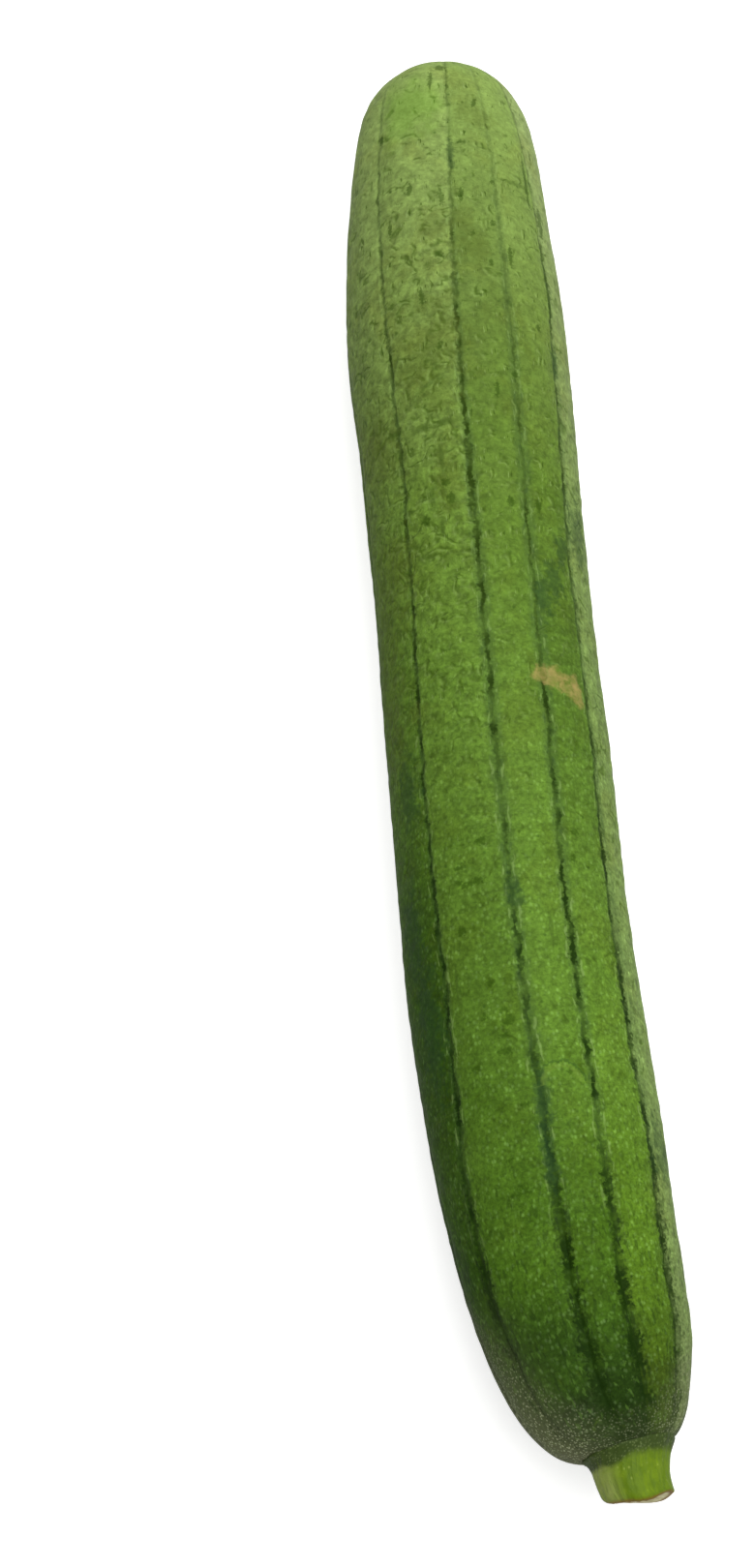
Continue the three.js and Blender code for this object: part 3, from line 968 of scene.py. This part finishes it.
def paint(red, green, blue):
    """A colour picker's values from 0 to 255 as linear red, green, blue and alpha."""
    shown = np.array([red, green, blue]) / 255
    linear = np.where(shown <= 0.04045, shown / 12.92, ((shown + 0.055) / 1.055) ** 2.4)
    return (*linear.tolist(), 1.0)


def mix(share, under, over, mode="MIX"):
    """Lays one colour over another by a share from 0 to 1. Each is a colour picker's three values,
    or comes from a node."""
    under, over = (paint(*one) if isinstance(one, tuple) else one for one in (under, over))
    inputs = {0: share, 6: under, 7: over}
    return add("Mix", inputs, output=2, data_type="RGBA", blend_type=mode, clamp_factor=True)


def wash(share, strength, over, mode="MIX"):
    """Lays a colour over the finish so far by a mask and a strength."""
    return mix(times(share, strength), colour, over, mode)


def shaded(value, low, high):
    """Scales the finish so far by a factor that goes from low to high with the value."""
    return add("VectorMath", {0: colour, "Scale": spread(value, low, high)}, operation="SCALE")


def eased(value, strength):
    """Draws a value towards 0.5 by a strength below 1, or away from it by one above 1."""
    inputs = {0: minus(value, 0.5), 1: strength, 2: 0.5}
    return add("Math", inputs, operation="MULTIPLY_ADD")


def known(name, output="Fac"):
    """A value, or with output="Vector" a vector, that the points carry."""
    return add("Attribute", {}, output=output, attribute_name=name)


def pattern(name, **inputs):
    """Puts a node group into the open tree, and gives back its output."""
    return add("Group", inputs, node_tree=bpy.data.node_groups[name])


def mottle(size, detail=3.0):
    return pattern("mottle", Place=place, Size=size, Detail=detail)


def flecks(where, stretch, share):
    return pattern("flecks", Place=where, Stretch=stretch, Share=share)


def stipple(where, spacing, dot, share):
    return pattern("stipple", Place=where, Spacing=spacing, Dot=dot, Share=share)


def end_finish(piece, reliefs, roughness, gloss):
    """Joins the finish so far, the roughness and a bump to the shader, and puts the finish on the
    piece. The bump's height is the sum of masks, each times its height."""
    height = 0.0
    for mask, amount in reliefs:
        height = plus(height, times(mask, amount))
    inputs = {"Height": height, "Strength": BUMP_STRENGTH, "Distance": BUMP_DEPTH}
    tree.links.new(colour, shader.inputs["Base Color"])
    tree.links.new(add("Bump", inputs), shader.inputs["Normal"])
    tree.links.new(roughness, shader.inputs["Roughness"])
    shader.inputs["Specular IOR Level"].default_value = gloss
    piece.data.materials.append(finish)
    print(finish.name, len(tree.nodes), "nodes")


# %% Colour from stalk to blossom end
finish, tree, shader = start_finish("gourd_skin")
place = known("straight", "Vector")
chart_place = add("UVMap", {}, uv_map="chart")
share_along = known("along")
lower = soft_step(share_along, 0.8, 0.2)
upper = soft_step(share_along, 0.3, 0.65)
shoulder = soft_step(share_along, 0.3, 0.06)

stops = [
    (0.00, (33, 51, 19)), (0.05, (50, 77, 20)), (0.12, (71, 104, 26)), (0.22, (87, 120, 38)),
    (0.42, (95, 127, 46)), (0.60, (98, 127, 47)), (0.74, (105, 129, 57)),
    (0.86, (118, 142, 70)), (0.97, (130, 155, 79)),
]
uneven_share = plus(share_along, spread(mottle(24.0, 2.0), -0.04, 0.04))
colour = add("ValToRGB", {"Fac": uneven_share})
elements = colour.node.color_ramp.elements
while len(elements) < len(stops):
    elements.new(0.5)
for element, (position, stop_colour) in zip(elements, stops):
    element.position = position
    element.color = paint(*stop_colour)
print(len(elements), "colours along the fruit")

# %% Tone of the ribs and blotches
tone_and_shade_value = known("tone_and_shade")
# The darker tone is the rib's own colour, and on ribs 2 and 3 at the left it is also painted shade.
darker_tone_and_shade = maths("MAXIMUM", times(tone_and_shade_value, -1.0), 0.0)
colour = wash(darker_tone_and_shade, 1.0, (112, 138, 96), "MULTIPLY")
colour = wash(maths("MAXIMUM", tone_and_shade_value, 0.0), 0.5, (156, 180, 40))
# Pale haze: the skin's dull bloom, and on ribs 7 and 8 at the right edge also a painted sheen.
colour = wash(known("haze_and_sheen"), 0.5, (142, 158, 104))
colour = wash(soft_step(mottle(13.0), 0.4, 1.0), 0.3, (240, 220, 190), "MULTIPLY")
blotch = mottle(5.0)
colour = shaded(blotch, 0.88, 1.12)
rumple_value = known("rumple")
crinkle = mottle(2.2)
crinkled = eased(crinkle, spread(rumple_value, 0.4, 1.5))
colour = shaded(crinkled, 0.72, 1.28)
print(len(tree.nodes), "nodes so far")

# %% Curls and strokes
CURL_SIZE = 4.6
CROSS_STRETCH = (2.6, 0.7, 1.0)
STROKES = ((0.7, 3.2, 1.0), 0.25)  # how far they are drawn out across and along, and their share

# Each curl and stroke is a dark mark with a painted highlight close beside it, as on the lit side
# of a wrinkle.
curl_share = spread(rumple_value, 0.1, 0.65)
curls = pattern("curls", Place=place, Size=CURL_SIZE, Width=0.085, Share=curl_share)
beside_curls = vector_maths("ADD", place, (0.55, 0.4, 0.0))
painted_highlight_curls = pattern("curls", Place=beside_curls, Size=CURL_SIZE, Width=0.07, Share=curl_share)
colour = wash(times(painted_highlight_curls, upper), 0.26, (150, 176, 100))
colour = wash(curls, 0.68, (60, 84, 18))
cross = flecks(chart_place, CROSS_STRETCH, 0.3)
colour = wash(cross, 0.34, (58, 84, 22))
stroke_share = plus(times(upper, 0.8), 0.2)
painted_highlight_strokes = flecks(vector_maths("ADD", chart_place, (0.8, 0.3, 0.0)), *STROKES)
colour = wash(times(painted_highlight_strokes, stroke_share), 0.3, (160, 184, 112))
colour = wash(times(flecks(chart_place, *STROKES), stroke_share), 0.8, (52, 76, 14))
print(len(tree.nodes), "nodes so far")

# %% Grain, pores and veins
colour = shaded(eased(mottle(0.9, 2.0), spread(lower, 0.5, 1.0)), 0.72, 1.28)
pore_place = vector_maths("DIVIDE", place, (1.0, 1.25, 1.0))
pores = stipple(pore_place, 1.2, 0.42, 1.1)
pores = times(pores, times(lower, spread(blotch, 0.35, 1.2)))
colour = shaded(pores, 1.0, 1.42)
colour = wash(pores, 0.12, (150, 178, 124))
veins = flecks(chart_place, (1.3, 3.4, 1.0), 0.5)
colour = wash(times(veins, shoulder), 0.5, (30, 50, 14))
# A pale copy beside each vein of the shoulder is a painted highlight.
painted_highlight_veins = flecks(vector_maths("ADD", chart_place, (1.7, 0.4, 0.0)), (1.5, 1.9, 1.0), 0.42)
colour = wash(times(painted_highlight_veins, shoulder), 0.3, (100, 138, 56))
colour = wash(stipple(place, 4.0, 0.14, 0.8), 0.5, (44, 72, 22))
print(len(tree.nodes), "nodes so far")

# %% Furrow lines
LIP_PLACE = 0.75  # millimetres from the line's edge to the middle of a lip


def wavering(height, scale, detail, roughness):
    """Noise on the straight fruit that goes that far down and up from 0."""
    return spread(noise(place, scale, detail, roughness), -height, height, NOISE_LOW, NOISE_HIGH)


shifted = plus(known("beside"), wavering(0.45, 0.35, 2.0, 0.55))
# The signed distance jumps in the middle of a rib, so the unsigned one sets a lower limit there.
from_line = maths("MAXIMUM", maths("ABSOLUTE", shifted), minus(known("furrow"), 1.2))
fray = wavering(0.85, 0.9, 3.0, 0.65)
reach = plus(maths("DIVIDE", from_line, known("line_width")), fray)
breaks = spread(noise(place, 0.16, 3.0, 0.6), 0.42, 1.12, 0.36, 0.56)
line = times(soft_step(reach, 1.5, 0.4), breaks)
line = times(line, known("line_strength"), use_clamp=True)

# A furrow's lips catch the light: a pale streak on either side, here and there.
past_edge = minus(from_line, known("line_width"))
lip = soft_step(maths("ABSOLUTE", minus(past_edge, LIP_PLACE)), 0.5, 0.1)
lip = times(lip, flecks(chart_place, (1.2, 4.0, 1.0), 0.58))
lip = times(lip, soft_step(share_along, 0.07, 0.2))

# The dull band is frayed, and broken up most of all on the shoulder.
band_fray = times(fray, spread(shoulder, 0.15, 0.6))
band = maths("DIVIDE", known("furrow"), known("band"))
band = soft_step(plus(band, band_fray), 1.25, 0.35)
gaps = minus(1.0, flecks(chart_place, (1.1, 3.5, 1.0), 0.5))
band = times(band, minus(1.0, times(spread(shoulder, 0.4, 0.75), gaps)))
band = times(band, soft_step(share_along, 0.65, 0.95, 1.0, 0.45))

band_colour = mix(soft_step(share_along, 0.1, 0.2), (32, 48, 18), (60, 84, 44))
colour = wash(band, soft_step(share_along, 0.1, 0.2, 0.85, 0.6), band_colour)
colour = wash(lip, spread(lower, 0.22, 0.32), (146, 174, 100))
colour = wash(line, 0.92, mix(upper, (22, 42, 6), (38, 56, 8)))
print(len(tree.nodes), "nodes so far")

# %% Marks and dust
# For each kind of mark: how coarse in millimetres, how ragged and how soft its edge is, how
# strongly it covers, and its colour.
MARK_LOOKS = {
    "lush": (6.0, 0.5, 0.6, 0.34, (100, 148, 34)),
    "olives": (2.4, 0.9, 0.6, 0.34, (78, 90, 30)),
    "blots": (2.0, 0.9, 0.5, 0.5, (36, 62, 34)),
    "spots": (0.7, 0.6, 0.3, 0.62, (42, 68, 8)),
    "scratches": (1.4, 0.3, 0.4, 0.5, (62, 84, 28)),
}


def cut_out(kind, size, raggedness, softness):
    """The ragged mask of one kind of mark."""
    inputs = {"Size": size, "Raggedness": raggedness, "Softness": softness}
    return pattern("ragged", Place=place, Depth=known(kind), **inputs)


for kind, (*look, strength, over) in MARK_LOOKS.items():
    colour = wash(cut_out(kind, *look), strength, over)

crack_place = plus(known("crack"), times(minus(crinkle, 0.5), 1.1))
crack_edge = soft_step(maths("ABSOLUTE", minus(crack_place, 1.1)), 0.9, 0.1)
colour = wash(crack_edge, 0.22, (124, 150, 62))
colour = wash(soft_step(maths("ABSOLUTE", crack_place), 0.45, 0.15), 0.5, (50, 78, 30))

scar = cut_out("scars", 2.6, 0.4, 0.3)
scar_holes = flecks(chart_place, (1.4, 0.8, 1.0), 0.42)
scar_share = minus(scar, times(scar_holes, 0.22), use_clamp=True)
colour = wash(scar_share, 0.7, mix(mottle(1.9), (98, 114, 42), (170, 146, 90)))

bare = soft_step(band, 0.0, 1.0, 1.0, 0.45)  # the furrows keep less dust than the ribs
bloom_share = times(known("bloom"), bare)
colour = wash(bloom_share, 0.48, (100, 110, 70))
colour = wash(times(known("dusty"), bare), 0.3, (136, 130, 108))
colour = wash(times(stipple(place, *DUST_DOTS), bloom_share), 0.9, (182, 190, 148))
print(len(tree.nodes), "nodes so far")

# %% Finish the skin
reliefs = [(crinkled, 0.5), (curls, -0.35), (cross, -0.1), (line, -0.25), (scar, 0.4)]
end_finish(skin, reliefs, soft_step(blotch, 0.0, 1.0, 0.46, 0.6), gloss=0.02)

# %% [markdown]
# ## The stalk's finish
#
# The stalk is young wood: yellow-green, with fibres that run along it, and paler on one side of its
# edge. The fruit's dark, dusty skin reaches on to its foot, furthest on that same side. The cut has
# dried. Its rim is brown, and its face is pale, with darker fibre bundles.

# %% Mix the stalk's colours
finish, tree, shader = start_finish("stalk_wood")
place = known("straight", "Vector")
rim_distance = known("from_rim")
edge_angle = known("from_edge")

streaks = flecks(place, (0.5, 5.0, 0.5), 0.5)
soft = mottle(3.0)
colour = mix(soft, (80, 106, 5), (106, 131, 16))
colour = wash(soft_step(edge_angle, 0.3, -0.4), spread(soft, 0.85, 0.5), (146, 158, 84))
colour = wash(streaks, 0.3, (78, 104, 28))
colour = wash(stipple(place, 1.2, 0.3, 0.5), 0.4, (160, 176, 84))

joint_noise = times(minus(soft, 0.5), 1.6)
skin_reach = soft_step(edge_angle, 0.7, -0.1, 0.0, 1.2)
near_fruit = soft_step(plus(plus(rim_distance, joint_noise), skin_reach), 7.2, 9.3)
colour = wash(near_fruit, 0.95, (50, 66, 22))
colour = wash(times(stipple(place, *DUST_DOTS), near_fruit), 0.3, (140, 156, 96))

face_grain = mottle(1.1, 4.0)
face_colour = mix(face_grain, (190, 184, 134), (216, 210, 168))
face_colour = mix(times(known("bundle"), 0.4), face_colour, (150, 142, 88))
colour = wash(soft_step(rim_distance, 0.1, -0.3), 1.0, face_colour)
rim_place = plus(rim_distance, times(joint_noise, 0.15))
colour = wash(soft_step(maths("ABSOLUTE", rim_place), 0.8, 0.1), 0.8, (120, 84, 26))

reliefs = [(streaks, -0.2), (face_grain, 0.2)]
end_finish(stalk, reliefs, soft_step(soft, 0.0, 1.0, 0.5, 0.65), gloss=0.15)

# %% [markdown]
# ## Put the gourd on its frame
#
# Each piece now stands for the solid under it, and the solid is hidden. Both ride on the one body
# there is, because nothing on a gourd moves.

# %% Join the pieces to the frame
for piece, node, slot in ((skin, "fruit", "fruit_skin"), (stalk, "stalk", "stalk_skin")):
    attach(piece, "root")
    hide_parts(node)
